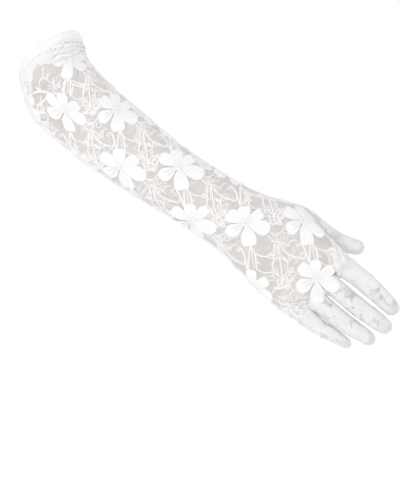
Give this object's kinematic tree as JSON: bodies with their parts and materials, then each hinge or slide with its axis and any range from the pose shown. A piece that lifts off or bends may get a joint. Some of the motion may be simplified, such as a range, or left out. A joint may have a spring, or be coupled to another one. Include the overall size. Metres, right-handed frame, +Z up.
{
  "type": "lace glove (right hand of a worn pair, elbow length)",
  "caption": "Elbow-length dress glove of floral lace for the right hand, in its worn form, open at the cuff and hollow to the fingertips.",
  "frame": {"origin": "middle of the wrist, where the glove sits on the arm", "axes": "+Z up the forearm to the cuff, fingers towards -Z; thumb side +X; back of the hand faces -Y"},
  "size_m": [0.1041, 0.0757, 0.4551],
  "materials": {
    "lace": "matt warp-knitted lace with raised flowers",
    "hem": "smooth stretch band, folded and stitched",
    "seam_thread": "overlocked thread"
  },
  "bodies": {
    "root": {"cuff_hem": "hem", "upper_sleeve": "lace", "lower_sleeve": "lace", "hand": "lace", "thumb": "lace", "index_finger": "lace", "middle_finger": "lace", "ring_finger": "lace", "little_finger": "lace", "side_seam": "seam_thread"}
  },
  "joints": []
}
